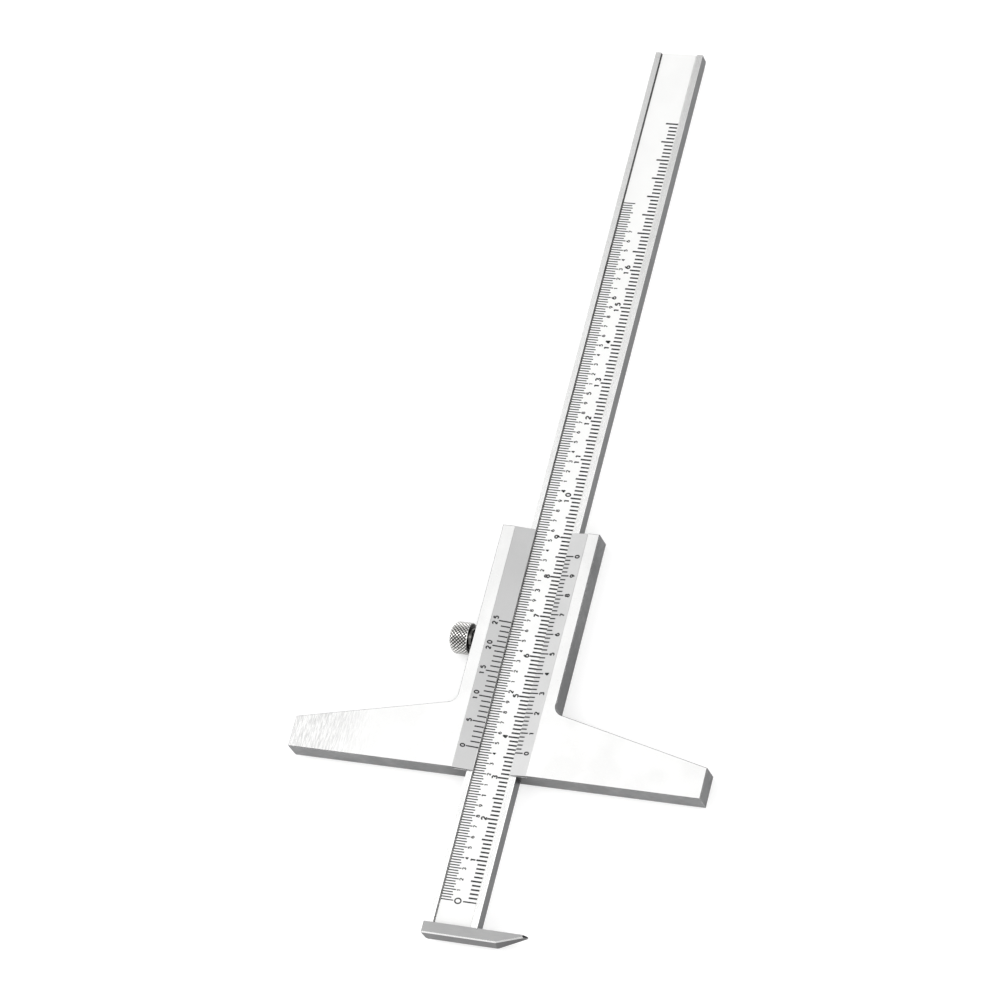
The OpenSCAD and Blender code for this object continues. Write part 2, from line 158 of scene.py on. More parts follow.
def eased_copy(node, name, materials, slot_of, edge_slot, edge_break):
    """A merged copy of a CAD node with its edges broken by edge_break. slot_of gives each flat its
    material from the flats' normals, and the broken edges take edge_slot."""
    shell = bmesh.new()
    shell.from_mesh(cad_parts[node].data)
    bmesh.ops.remove_doubles(shell, verts=shell.verts, dist=MERGE_DISTANCE)
    bmesh.ops.dissolve_limit(shell, angle_limit=SAME_FLAT, verts=shell.verts, edges=shell.edges)
    mesh = bpy.data.meshes.new(name)
    shell.to_mesh(mesh)
    shell.free()
    for material in materials:
        mesh.materials.append(material)
    normals = np.empty(len(mesh.polygons) * 3)
    mesh.polygons.foreach_get("normal", normals)
    mesh.polygons.foreach_set("material_index", slot_of(*normals.reshape(-1, 3).T).astype(np.int32))
    mesh.polygons.foreach_set("use_smooth", np.ones(len(mesh.polygons), bool))
    piece = bpy.data.objects.new(name, mesh)
    bpy.context.scene.collection.objects.link(piece)
    bevel = piece.modifiers.new("broken edges", "BEVEL")
    bevel.width, bevel.segments, bevel.limit_method = edge_break, 2, "ANGLE"
    bevel.angle_limit = TRUE_EDGE
    bevel.material = edge_slot
    even = piece.modifiers.new("flats stay flat", "WEIGHTED_NORMAL")
    even.mode, even.weight, even.keep_sharp = "FACE_AREA", 100, False
    return piece


ground_front = worked_metal("ground_steel_front", STEEL_BRIGHT, 0.30, (900, 9000, 9000), contrast=0.03)
# The walls' colour is a darker copy of the ground steel, painted shade; walls facing along X take a darker
# one still.
shaded_milled_wall = worked_metal("milled_wall_painted_shade", STEEL_WALL_SHADED, 0.38, (700, 700, 4000),
                           contrast=0.26, depth=0.8e-6, clouds=0.22)
shaded_side_wall = worked_metal("side_wall_painted_shade", STEEL_SIDE_SHADED, 0.38, (700, 700, 3500),
                         contrast=0.34, depth=0.8e-6, clouds=0.22)
# The broken edges are brighter than the faces: a painted highlight.
steel_edge_highlight = worked_metal("steel_edge_painted_highlight", STEEL_EDGE_HIGHLIGHT, 0.24, (2500, 2500, 2500), contrast=0.04)

# Painted shadow: the milled walls darken towards the beam, the plates' ends too.
tree = shaded_milled_wall.node_tree
place = tree.nodes.new("ShaderNodeTexCoord").outputs["Object"]
across = shade(tree, "ShaderNodeSeparateXYZ", "along the base", Vector=place)
aside = maths(tree, "ABSOLUTE", "away from the beam", across.outputs["X"])
dim(tree, "painted shadow beside the beam", spread(tree, aside, *BEAM_SHADOW_REACH, BEAM_SHADOW_LEVEL, 1.0))

tree = ground_front.node_tree
place = tree.nodes.new("ShaderNodeTexCoord").outputs["Object"]
slant = shade(tree, "ShaderNodeMapping", "stroke direction",
              Vector=place, Scale=STROKE_CYCLES, Rotation=(0, 0, STROKE_SLANT))
streaks = shade(tree, "ShaderNodeTexNoise", "strokes",
                Vector=slant.outputs[0], Scale=1.0, Detail=4.0, Roughness=0.65)
across = shade(tree, "ShaderNodeSeparateXYZ", "along the base", Vector=place)
strength = spread(tree, across.outputs["X"], STROKES_FROM, STROKES_TO, STROKE_STRENGTH, 0.0)
cut = spread(tree, streaks.outputs["Fac"], 0.40, 0.60, 0.0, 1.0)
depth = maths(tree, "MULTIPLY", "stroke share", cut, strength)
dim(tree, "stroked colour", maths(tree, "SUBTRACT", "what a stroke leaves", 1.0, depth))

# Flats facing Z take the ground steel, walls facing along X the darker painted-shade wall, other walls the
# painted-shade wall, and the broken edges the painted highlight.
base = eased_copy(
    "base_frame", "ground_base_and_frame", [ground_front, shaded_milled_wall, steel_edge_highlight, shaded_side_wall],
    lambda nx, ny, nz: np.where(np.abs(nz) > 0.9, 0, np.where(np.abs(nx) > 0.7, 3, 1)), 2, EDGE_BREAK)
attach(base, "base")
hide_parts("base_frame")


# Gib and leaf spring. A milled brass strip guides the beam's left edge, and a formed strip of bright
# spring steel behind it takes up the play. Both lie in the frame's closed pocket.
brass = worked_metal("machined_brass", (0.72, 0.50, 0.20), 0.33, (6000, 500, 6000), contrast=0.12)
spring_steel = worked_metal("bright_spring_steel", (0.50, 0.52, 0.56), 0.22, (8000, 400, 8000), contrast=0.08)


def refinish(node, material):
    """Gives a kept CAD node its worked finish."""
    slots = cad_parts[node].data.materials
    slots.clear()
    slots.append(material)


refinish("gib_strip", brass)
refinish("leaf_spring", spring_steel)


# Lock screw. A brass pad turns on the nose of a threaded steel stud, and a nickel-plated knob with a
# diamond knurl is fixed on the stud's outer end. The knurl is rolled in two crossed sets of starts.
KNOB_STARTS = 28
STEPS_PER_START = 8
GROOVE_SHARE = 0.45
KNURL_DEPTH = 0.22 * MM
KNOB_ROUNDING = 1.3 * MM
CROWN_RINGS, BAND_RINGS = 20, 30
KNOB_CHAMFER = 0.2 * MM
KNOB_NECK_LENGTH = 0.6 * MM
NECK_RADIUS = 2.4 * MM
GROOVE_SHADE = 0.15
THREAD_PITCH = 0.45 * MM
THREAD_DEPTH = 0.22 * MM
THREAD_STEPS = 24
THREAD_RINGS = 6
THREAD_RUNOUT = 0.25 * MM
THREAD_CORE = 0.25 * MM
STUD_NOSE_LENGTH = 0.5 * MM
STUD_NOSE_RADIUS = 0.6 * MM
STUD_NOSE_CHAMFER = 0.08 * MM
SAME_PLACE = 0.0001 * MM
nickel = worked_metal("nickel_plate", (0.87, 0.865, 0.845), 0.13, (5000, 5000, 5000),
                      contrast=0.15, clouds=0.10)
# The knob's inner face, neck and bore take a dark copy of the nickel: painted shade where they face the
# frame.
shaded_nickel = worked_metal("nickel_neck_painted_shade", (0.18, 0.177, 0.17), 0.12, (9000, 1500, 1500),
                             contrast=0.2, clouds=0.1)
turned_steel = worked_metal("turned_steel", (0.42, 0.42, 0.43), 0.30, (9000, 9000, 900), contrast=0.15)

knob_low, knob_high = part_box("lock_knob")
stud_low, stud_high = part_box("lock_stud")
screw_y, screw_z = (knob_low.y + knob_high.y) / 2, (knob_low.z + knob_high.z) / 2


def saw(t):
    """A crest of height 1 at each whole t and a groove of height 0 halfway between: |2 frac(t) - 1|."""
    return np.abs(2 * (t - np.floor(t)) - 1)


def turned_piece(name, x, radius, materials, slots=None, flat=None):
    """A piece turned about the lock screw's axis. Row i of the grid is the ring at x[i], with the radii
    radius[i, j] at the angles a = 2 pi j / n, so P = (x, y0 + r cos a, z0 + r sin a). Squares are cut along
    the one diagonal where i + j is even and along the other where it is odd, so that the knurl's
    grooves, which run through the even rows and columns, are true lines. A point on the axis closes
    each end."""
    rows, columns = radius.shape
    angle = np.arange(columns) * 2 * np.pi / columns
    along_x = np.broadcast_to(x[:, None], radius.shape)
    ring = np.stack([along_x, screw_y + radius * np.cos(angle), screw_z + radius * np.sin(angle)], axis=-1)
    ends = [[x[0], screw_y, screw_z], [x[-1], screw_y, screw_z]]
    points = np.concatenate([ring.reshape(-1, 3), ends])
    i, j = np.meshgrid(np.arange(rows - 1), np.arange(columns), indexing="ij")
    a, b = i * columns + j, i * columns + (j + 1) % columns
    c, d = b + columns, a + columns
    even = ((i + j) % 2 == 0)[..., None]
    first = np.where(even, np.stack([a, b, c], -1), np.stack([a, b, d], -1))
    second = np.where(even, np.stack([a, c, d], -1), np.stack([b, c, d], -1))
    body = np.stack([first, second], axis=2).reshape(-1, 3)
    j = np.arange(columns)
    k = (j + 1) % columns
    start = np.stack([np.full(columns, rows * columns), k, j], -1)
    last = (rows - 1) * columns
    end = np.stack([np.full(columns, rows * columns + 1), last + j, last + k], -1)
    faces = np.concatenate([body, start, end])
    corner = points[faces]
    if np.einsum("ij,ij->i", corner[:, 0], np.cross(corner[:, 1], corner[:, 2])).sum() < 0:
        faces = faces[:, ::-1]
    mesh = bpy.data.meshes.new(name)
    mesh.from_pydata(points.tolist(), [], faces.tolist())
    for material in materials:
        mesh.materials.append(material)
    row_of = np.concatenate([np.repeat(np.arange(rows - 1), columns * 2),
                             np.zeros(columns, int), np.full(columns, rows - 2)])
    if slots is not None:
        mesh.polygons.foreach_set("material_index", np.asarray(slots, np.int32)[row_of])
    smooth = np.ones(len(faces), bool) if flat is None else ~np.asarray(flat)[row_of]
    mesh.polygons.foreach_set("use_smooth", smooth)
    piece = bpy.data.objects.new(name, mesh)
    bpy.context.scene.collection.objects.link(piece)
    return piece


knob_radius = (knob_high.y - knob_low.y) / 2
stud_radius = (stud_high.y - stud_low.y) / 2
outer_x, neck_x = knob_low.x, knob_high.x
inner_x = neck_x - KNOB_NECK_LENGTH
crown_x = outer_x + KNOB_ROUNDING
chamfer_x = inner_x - KNOB_CHAMFER
turn = np.linspace(0, np.pi / 2, CROWN_RINGS)
dish = np.array([0.12, 0.3, 0.5, 0.7, 0.85]) * (knob_radius - KNOB_ROUNDING)
band = np.linspace(crown_x, chamfer_x, BAND_RINGS)
# The profile's rings in order: the outer face, its rounding, the band, the inner chamfer, the inner
# face, the neck with its small rounding, and the bore down to the stud's end. The band starts on an
# even row, which turned_piece needs for the grooves.
knob_x = np.concatenate([
    np.full(len(dish), outer_x), crown_x - KNOB_ROUNDING * np.cos(turn), band[1:],
    [chamfer_x + 0.5 * KNOB_CHAMFER, inner_x - 0.03 * MM, inner_x], np.full(4, inner_x),
    [inner_x + 0.05 * MM, neck_x - 0.1 * MM, neck_x - 0.03 * MM, neck_x, neck_x, neck_x - 0.1 * MM,
     stud_low.x],
])
inner_face_radius = knob_radius - KNOB_CHAMFER
knob_r = np.concatenate([
    dish, knob_radius - KNOB_ROUNDING * (1 - np.sin(turn)), np.full(len(band) - 1, knob_radius),
    [knob_radius - 0.5 * KNOB_CHAMFER, inner_face_radius + 0.03 * MM, inner_face_radius - 0.05 * MM],
    [knob_radius - 0.9 * MM, knob_radius - 1.05 * MM, NECK_RADIUS + 0.12 * MM, NECK_RADIUS + 0.04 * MM],
    [NECK_RADIUS, NECK_RADIUS, NECK_RADIUS - 0.03 * MM, NECK_RADIUS - 0.1 * MM, stud_radius + 0.08 * MM,
     stud_radius, stud_radius],
])
# The knurl: along and around count its starts over the profile's length and round the knob. The two
# crossed sets of grooves run where their sum and their difference are halfway between whole numbers,
# with flat tops above GROOVE_SHARE of the way up. The knurl fades out on the outer face's rounding.
over = np.concatenate([[0], np.cumsum(np.hypot(np.diff(knob_x), np.diff(knob_r)))])
over -= over[len(dish) + len(turn) - 1]
along = over[:, None] / (STEPS_PER_START * (band[1] - band[0]))
around = np.arange(KNOB_STARTS * STEPS_PER_START)[None, :] / STEPS_PER_START
crest = np.minimum(np.minimum(saw(around + along), saw(around - along)) / GROOVE_SHARE, 1)
fade_start, fade_length = 0.75 * KNOB_ROUNDING, 0.25 * KNOB_ROUNDING
fade = np.clip((knob_r - knob_radius + fade_start) / fade_length, 0, 1)
knurled = fade * (knob_x <= chamfer_x + SAME_PLACE)
knob_grid = knob_r[:, None] - KNURL_DEPTH * knurled[:, None] * (1 - crest)
is_knurl = (knurled[:-1] > 0) & (knurled[1:] > 0)
# Rows from the inner face on take the painted-shade nickel.
in_shade_rows = knob_x[:-1] >= inner_x - SAME_PLACE
knob = turned_piece("knurled_knob", knob_x, knob_grid, [nickel, shaded_nickel], in_shade_rows, is_knurl)
height = np.append(np.where(knurled[:, None] > 0, crest, 1.0), [1.0, 1.0])
knob.data.attributes.new("crest", "FLOAT", "POINT").data.foreach_set("value", height)
# Painted shade: the nickel's colour darkens down into the knurl's grooves.
tree = nickel.node_tree
crests = tree.nodes.new("ShaderNodeAttribute")
crests.attribute_name = "crest"
dim(tree, "painted shade in the grooves", spread(tree, crests.outputs["Fac"], 0.2, 0.95, GROOVE_SHADE, 1.0))
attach(knob, "lock_screw")
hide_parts("lock_knob")

nose_end = stud_high.x
shoulder = nose_end - STUD_NOSE_LENGTH
core_radius = stud_radius - THREAD_CORE
thread_x = np.arange(shoulder - THREAD_RUNOUT, stud_low.x + 0.05 * MM, -THREAD_PITCH / THREAD_RINGS)
thread_turn = np.arange(THREAD_STEPS) / THREAD_STEPS
thread = stud_radius - THREAD_DEPTH * (1 - saw(thread_x[:, None] / THREAD_PITCH - thread_turn[None, :]))
plain_x = np.array([nose_end, nose_end - STUD_NOSE_CHAMFER, shoulder, shoulder])
plain_r = np.array([STUD_NOSE_RADIUS - STUD_NOSE_CHAMFER, STUD_NOSE_RADIUS, STUD_NOSE_RADIUS, core_radius])
stud_x = np.concatenate([plain_x, thread_x, [stud_low.x]])
stud_grid = np.concatenate([np.repeat(plain_r[:, None], THREAD_STEPS, 1), thread,
                            np.full((1, THREAD_STEPS), core_radius)])
stud = turned_piece("threaded_stud", stud_x, stud_grid, [turned_steel])
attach(stud, "lock_screw")
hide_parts("lock_stud")
refinish("clamp_pad", brass)


# Vernier plates. Two wedges of satin steel lie flush in the frame's seats, thin at the reading edge
# beside the beam. Each is one ground section, with its edges lightly broken, and its ends take the
# base's darker wall colour, painted shade.
PLATE_SATIN = (0.575, 0.575, 0.575)
PLATE_INNER = 4.45 * MM
PLATE_EDGE = 0.3 * MM
PLATE_BREAK = 0.05 * MM
ROUNDING_POINTS = 4
satin_plate = worked_metal("satin_plate", PLATE_SATIN, 0.36, (7000, 7000, 7000), contrast=0.07, clouds=0.04)
plate_rim = worked_metal("plate_rim", (0.70, 0.70, 0.70), 0.30, (3000, 3000, 3000), contrast=0.05)


def ground_bar(name, corners, roundings, y_from, y_to, end_rounding, materials, side_slots, edge_slot,
               end_slot, shape=None, extra=()):
    """A bar of constant section along Y. A corner c whose sides point along a and b, with rounding r, is
    the curve c + r a (1 - t)^2 + r b t^2 for t from 0 to 1. Towards each end the section draws in by
    e (1 - sin w) while Y runs by e (1 - cos w), for w from 0 to 90 degrees. shape may move the grid's
    points (stations, section, xyz) before they are skinned, and extra adds stations for it. side_slots
    has the material of the side that leaves each corner, edge_slot the corners' and end_slot the ends'."""
    corners, roundings = np.asarray(corners, float), np.asarray(roundings, float)
    back = np.roll(corners, 1, 0) - corners
    ahead = np.roll(corners, -1, 0) - corners
    back /= np.linalg.norm(back, axis=1)[:, None]
    ahead /= np.linalg.norm(ahead, axis=1)[:, None]
    t = np.linspace(0, 1, ROUNDING_POINTS)[None, :, None]
    r = roundings[:, None, None]
    curves = corners[:, None] + r * back[:, None] * (1 - t) ** 2 + r * ahead[:, None] * t ** 2
    section = curves.reshape(-1, 2)
    tangent = np.roll(section, -1, 0) - np.roll(section, 1, 0)
    outward = np.stack([tangent[:, 1], -tangent[:, 0]], 1) / np.linalg.norm(tangent, axis=1)[:, None]
    after = np.roll(section, -1, 0)
    if (section[:, 0] * after[:, 1] - after[:, 0] * section[:, 1]).sum() < 0:
        outward = -outward
    w = np.linspace(0, np.pi / 2, ROUNDING_POINTS)
    inset = end_rounding * (1 - np.sin(w))
    run = end_rounding * (1 - np.cos(w))
    stations = np.concatenate([y_from + run, extra, y_to - run[::-1]])
    insets = np.concatenate([inset, np.zeros(len(extra)), inset[::-1]])
    flat = section[None] - insets[:, None, None] * outward[None]
    grid = np.stack([flat[..., 0], np.broadcast_to(stations[:, None], flat.shape[:2]), flat[..., 1]], -1)
    if shape is not None:
        grid = shape(grid)
    rows, columns = grid.shape[:2]
    i, j = np.meshgrid(np.arange(rows - 1), np.arange(columns), indexing="ij")
    k = (j + 1) % columns
    this_row, next_row = i * columns, (i + 1) * columns
    quads = np.stack([this_row + j, this_row + k, next_row + k, next_row + j], -1).reshape(-1, 4)
    caps = [list(range(columns))[::-1], list(range((rows - 1) * columns, rows * columns))]
    points = grid.reshape(-1, 3)
    corner = points[quads]
    normals = np.cross(corner[:, 1] - corner[:, 0], corner[:, 3] - corner[:, 0])
    faces = quads.tolist() + caps
    if np.einsum("ij,ij->i", corner[:, 0] + corner[:, 2], normals).sum() < 0:
        faces = [face[::-1] for face in faces]
    mesh = bpy.data.meshes.new(name)
    mesh.from_pydata(points.tolist(), [], faces)
    for material in materials:
        mesh.materials.append(material)
    straight = np.arange(columns) % ROUNDING_POINTS == ROUNDING_POINTS - 1
    slots = np.where(straight, np.repeat(np.asarray(side_slots), ROUNDING_POINTS), edge_slot)
    slots = np.concatenate([np.tile(slots, rows - 1), [end_slot, end_slot]]).astype(np.int32)
    mesh.polygons.foreach_set("material_index", slots)
    mesh.polygons.foreach_set("use_smooth", np.append(np.tile(~straight, rows - 1), [False, False]))
    piece = bpy.data.objects.new(name, mesh)
    bpy.context.scene.collection.objects.link(piece)
    return piece


def vernier_plate(node, name, side):
    """A plate from its CAD box: the seat, the outer wall and the slope down to the reading edge. Gives the
    height of the reading edge and the slope."""
    low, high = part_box(node)
    outer = high.x if side > 0 else -low.x
    edge_z = low.z + PLATE_EDGE
    corners = np.array([[PLATE_INNER, low.z], [outer, low.z], [outer, high.z], [PLATE_INNER, edge_z]])
    plate = ground_bar(name, corners * [side, 1], [PLATE_BREAK] * 4, low.y, high.y, PLATE_BREAK,
                       [satin_plate, plate_rim, shaded_milled_wall], [1, 1, 0, 1], 1, 2)
    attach(plate, "base")
    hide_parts(node)
    return edge_z, (high.z - low.z - PLATE_EDGE) / (outer - PLATE_INNER)


inch_edge_z, inch_slope = vernier_plate("inch_vernier_plate", "inch_plate", -1)
metric_edge_z, metric_slope = vernier_plate("metric_vernier_plate", "metric_plate", 1)
refinish("inch_plate_screws", turned_steel)
refinish("metric_plate_screws", turned_steel)


# Vernier graduations. The lines and numbers are cut into the plates and filled with black. Each is a
# thin slip of black lying on the slope. The numbers read along the beam, as on a gauge held level.
MARK_LIFT = 0.008 * MM
MARK_SINK = 0.012 * MM
NUMBER_SQUEEZE = 0.72
NUMBER_GAP = 1.3
NUMBER_HEIGHT = 1.35 * MM
ARC_POINTS, TURN_POINTS = 11, 18
LINE_START = PLATE_INNER + 0.02 * MM
METRIC_DIVISION = 0.98 * MM
METRIC_ZERO = 5.5 * MM
METRIC_LINE, METRIC_FIFTH_LINE = 1.4 * MM, 1.95 * MM
METRIC_LINE_WIDTH = 0.32 * MM
METRIC_NUMBER_WIDTH = 0.33 * MM
METRIC_NUMBERS_AT = 7.35 * MM
INCH_DIVISION = 1.225 / 25 * 25.4 * MM
INCH_ZERO = 5.6 * MM
INCH_LINE, INCH_FIFTH_LINE = 2.2 * MM, 2.95 * MM
INCH_LINE_WIDTH = 0.31 * MM
INCH_NUMBER_WIDTH = 0.32 * MM
INCH_NUMBERS_AT = -8.2 * MM
black_fill = worked_metal("black_fill", (0.014, 0.014, 0.015), 0.5, (4000, 4000, 4000),
                          contrast=0.35, metallic=0.0)


def arc(cx, cy, rx, ry, start, stop):
    """Part of an ellipse: (cx + rx cos a, cy + ry sin a), for a from start to stop degrees. A whole turn
    is closed."""
    whole = abs(stop - start) >= 360
    a = np.radians(np.linspace(start, stop, TURN_POINTS if whole else ARC_POINTS, endpoint=not whole))
    return np.stack([cx + rx * np.cos(a), cy + ry * np.sin(a)], 1), whole


def stroke(*points):
    """Straight strokes between points of the number's cell, which is 1 wide and 1 high."""
    return np.array(points, float), False


def half_turned(path, closed):
    """The same stroke with the number turned upside down."""
    return 1 - path, closed


SIX = [arc(0.5, 0.3, 0.45, 0.3, 0, 360), arc(0.85, 0.3, 0.8, 0.7, 180, 100)]
NUMBERS = {
    "0": [arc(0.5, 0.5, 0.5, 0.5, 0, 360)],
    "1": [stroke((0.5, 0), (0.5, 1)), stroke((0.5, 1), (0.18, 0.76))],
    "2": [arc(0.5, 0.7, 0.43, 0.3, 170, -35), stroke((0.86, 0.54), (0.08, 0.02)),
          stroke((0.05, 0), (0.95, 0))],
    "3": [arc(0.47, 0.75, 0.4, 0.25, 150, -90), arc(0.47, 0.26, 0.46, 0.26, 90, -150)],
    "4": [stroke((0.7, 0), (0.7, 1)), stroke((0.7, 1), (0.05, 0.3)), stroke((0.05, 0.3), (0.97, 0.3))],
    "5": [stroke((0.2, 1), (0.88, 1)), stroke((0.2, 1), (0.14, 0.55)),
          arc(0.47, 0.33, 0.46, 0.33, 130, -145)],
    "6": SIX,
    "7": [stroke((0.06, 1), (0.94, 1)), stroke((0.94, 1), (0.36, 0))],
    "8": [arc(0.5, 0.76, 0.36, 0.24, 0, 360), arc(0.5, 0.27, 0.46, 0.27, 0, 360)],
    "9": [half_turned(*s) for s in SIX],
}


class Marks:
    """Slips of black laid on one face. Points are (x, y, h): x and y in the frame and h above the face."""

    def __init__(self):
        self.points, self.faces, self.count = [], [], 0

    def add(self, points, faces):
        """Keeps more points, and faces that count from the first of them."""
        self.points.append(points)
        self.faces.append(faces + self.count)
        self.count += len(points)

    def lines(self, x_from, x_to, y, width):
        """One slip for each line across the beam: x_from to x_to, width tall, centred on y."""
        x_from, x_to, y = np.broadcast_arrays(x_from, x_to, y)
        left_right = np.stack([x_from, x_to, x_to, x_from, x_from, x_to, x_to, x_from], 1)
        up_down = y[:, None] + width / 2 * np.array([-1, -1, 1, 1, -1, -1, 1, 1])
        height = np.broadcast_to([-MARK_SINK] * 4 + [MARK_LIFT] * 4, left_right.shape)
        block = np.array([[0, 3, 2, 1], [4, 5, 6, 7], [0, 1, 5, 4], [1, 2, 6, 5], [2, 3, 7, 6], [3, 0, 4, 7]])
        self.add(np.stack([left_right, up_down, height], -1).reshape(-1, 3),
                 (block[None] + 8 * np.arange(len(y))[:, None, None]).reshape(-1, 4))

    def ribbon(self, path, closed, width):
        """A slip along a path P: its sides are P + n width / 2 and P - n width / 2, n being P's normal."""
        step = np.roll(path, -1, 0) - np.roll(path, 1, 0) if closed else np.gradient(path, axis=0)
        normal = np.stack([-step[:, 1], step[:, 0]], 1) / np.linalg.norm(step, axis=1)[:, None]
        sides = np.array([[1, -MARK_SINK], [-1, -MARK_SINK], [-1, MARK_LIFT], [1, MARK_LIFT]])
        flat = path[:, None] + normal[:, None] * sides[None, :, :1] * width / 2
        ring = np.concatenate([flat, np.broadcast_to(sides[None, :, 1:], flat.shape[:2] + (1,))], -1)
        n = len(path)
        i, j = np.meshgrid(np.arange(n if closed else n - 1), np.arange(4), indexing="ij")
        after, beside = (i + 1) % n, (j + 1) % 4
        quads = np.stack([i * 4 + j, i * 4 + beside, after * 4 + beside, after * 4 + j], -1).reshape(-1, 4)
        if not closed:
            quads = np.concatenate([quads, [[3, 2, 1, 0], [4 * n - 4, 4 * n - 3, 4 * n - 2, 4 * n - 1]]])
        self.add(ring.reshape(-1, 3), quads)

    def number(self, text, x, y, height, line_width, squeeze=NUMBER_SQUEEZE):
        """A number about x and y that reads up the beam: its right is +Y and its top is -X."""
        inner_height, width = height - line_width, height * squeeze - line_width
        pitch = height * squeeze + NUMBER_GAP * line_width
        for place, digit in enumerate(text):
            middle = y + (place - (len(text) - 1) / 2) * pitch
            for path, closed in NUMBERS[digit]:
                right, up = path[:, 0] - 0.5, path[:, 1] - 0.5
                turned = np.stack([x - up * inner_height, middle + right * width], 1)
                self.ribbon(turned, closed, line_width)

    def lay(self, name, body, surface_z):
        """Makes the piece: puts the slips on the face z = surface_z(x) and turns their sides outwards."""
        flat = np.concatenate(self.points)
        points = np.stack([flat[:, 0], flat[:, 1], surface_z(flat[:, 0]) + flat[:, 2]], 1)
        mesh = bpy.data.meshes.new(name)
        mesh.from_pydata(points.tolist(), [], np.concatenate(self.faces).tolist())
        mesh.materials.append(black_fill)
        shell = bmesh.new()
        shell.from_mesh(mesh)
        bmesh.ops.recalc_face_normals(shell, faces=shell.faces)
        shell.to_mesh(mesh)
        shell.free()
        piece = bpy.data.objects.new(name, mesh)
        bpy.context.scene.collection.objects.link(piece)
        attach(piece, body)
        return piece


marks = Marks()
step = np.arange(26)
length = np.where(step % 5 == 0, INCH_FIFTH_LINE, INCH_LINE)
marks.lines(-PLATE_INNER - length, -LINE_START, INCH_ZERO + step * INCH_DIVISION, INCH_LINE_WIDTH)
for value in range(0, 26, 5):
    marks.number(str(value), INCH_NUMBERS_AT, INCH_ZERO + value * INCH_DIVISION, NUMBER_HEIGHT,
                 INCH_NUMBER_WIDTH)
marks.lay("inch_vernier_marks", "base", lambda x: inch_edge_z + inch_slope * (-x - PLATE_INNER))

marks = Marks()
step = np.arange(51)
length = np.where(step % 5 == 0, METRIC_FIFTH_LINE, METRIC_LINE)
marks.lines(LINE_START, PLATE_INNER + length, METRIC_ZERO + step * METRIC_DIVISION, METRIC_LINE_WIDTH)
for value in range(11):
    marks.number(str(value % 10), METRIC_NUMBERS_AT, METRIC_ZERO + 5 * value * METRIC_DIVISION,
                 NUMBER_HEIGHT, METRIC_NUMBER_WIDTH)
marks.lay("metric_vernier_marks", "base", lambda x: metric_edge_z + metric_slope * (x - PLATE_INNER))


# Beam. A ground steel bar, satin chromed, with two bright rails that stand above the graduated face
# and a relief groove at the foot of each. The tenon below goes into the hook foot.
RAIL_WIDTH = 1.4 * MM
RAIL_STEP = 0.35 * MM
RELIEF_WIDTH = 0.3 * MM
RELIEF_DEPTH = 0.25 * MM
TENON_WIDTH = 9.6 * MM
TENON_THICKNESS = 1.6 * MM
BEAM_END_CHAMFER = 0.4 * MM
BEAM_END_BREAK = 0.03 * MM
TENON_BREAK = 0.05 * MM
TENON_RUN_IN = 0.5 * MM
satin_face = worked_metal("satin_chrome_face", (0.83, 0.83, 0.823), 0.45, (9000, 9000, 9000),
                          contrast=0.02, metallic=0.2, clouds=0.02)
ground_rail = worked_metal("ground_rail", (0.92, 0.92, 0.915), 0.20, (6000, 1500, 6000),
                           contrast=0.12, depth=0.5e-6)
# The beam's side walls and ends take a darker copy of its steel, painted shade, and the left relief groove an
# almost black one, painted shade in the groove.
shaded_beam_wall = worked_metal("beam_wall_painted_shade", (0.162, 0.164, 0.167), 0.34, (9000, 300, 9000),
                         contrast=0.15, clouds=0.12)
groove_painted_shade = worked_metal("groove_painted_shade", (0.075, 0.075, 0.077), 0.5, (9000, 300, 9000), contrast=0.3)

beam_low, beam_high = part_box("main_beam")
half_beam = beam_high.x
half_face = half_beam - RAIL_WIDTH
groove_x = half_face - RELIEF_WIDTH
face_z = beam_high.z - RAIL_STEP
groove_z = face_z - RELIEF_DEPTH
hook_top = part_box("hook_foot")[1].y
beam_middle = (beam_low.z + beam_high.z) / 2


def back_chamfer(grid):
    """Lifts the back's end points onto the chamfer's plane: z >= back + (y - (top - chamfer))."""
    z = np.maximum(grid[..., 2], beam_low.z + grid[..., 1] - (beam_high.y - BEAM_END_CHAMFER))
    return np.stack([grid[..., 0], grid[..., 1], z], -1)


beam_section = [
    (-half_beam, beam_low.z), (half_beam, beam_low.z), (half_beam, beam_high.z), (half_face, beam_high.z),
    (half_face, groove_z), (groove_x, groove_z), (groove_x, face_z), (-groove_x, face_z),
    (-groove_x, groove_z), (-half_face, groove_z), (-half_face, beam_high.z), (-half_beam, beam_high.z),
]
beam_breaks = np.array([0.15, 0.15, 0.08, 0.05, 0.04, 0.04, 0.03, 0.03, 0.04, 0.04, 0.05, 0.08]) * MM
# Slots: the back and rail tops the rail steel, the side walls and ends the painted-shade wall, the left
# groove and left rail's inner wall the painted-shade groove, the right groove the face, the rounded edges the
# painted highlight.
beam = ground_bar("graduated_beam", beam_section, beam_breaks, hook_top, beam_high.y, BEAM_END_BREAK,
                  [satin_face, ground_rail, shaded_beam_wall, groove_painted_shade, steel_edge_highlight],
                  [1, 2, 1, 0, 0, 0, 0, 3, 3, 3, 1, 2], 4, 2,
                  back_chamfer, [beam_high.y - BEAM_END_CHAMFER])
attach(beam, "beam")
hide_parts("main_beam")

tenon_x, tenon_z = TENON_WIDTH / 2, TENON_THICKNESS / 2
tenon_section = [(-tenon_x, beam_middle - tenon_z), (tenon_x, beam_middle - tenon_z),
                 (tenon_x, beam_middle + tenon_z), (-tenon_x, beam_middle + tenon_z)]
tenon = ground_bar("beam_tenon", tenon_section, [TENON_BREAK] * 4, beam_low.y, hook_top + TENON_RUN_IN,
                   TENON_BREAK, [shaded_beam_wall], [0] * 4, 0, 0)
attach(tenon, "beam")
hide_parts("main_beam")


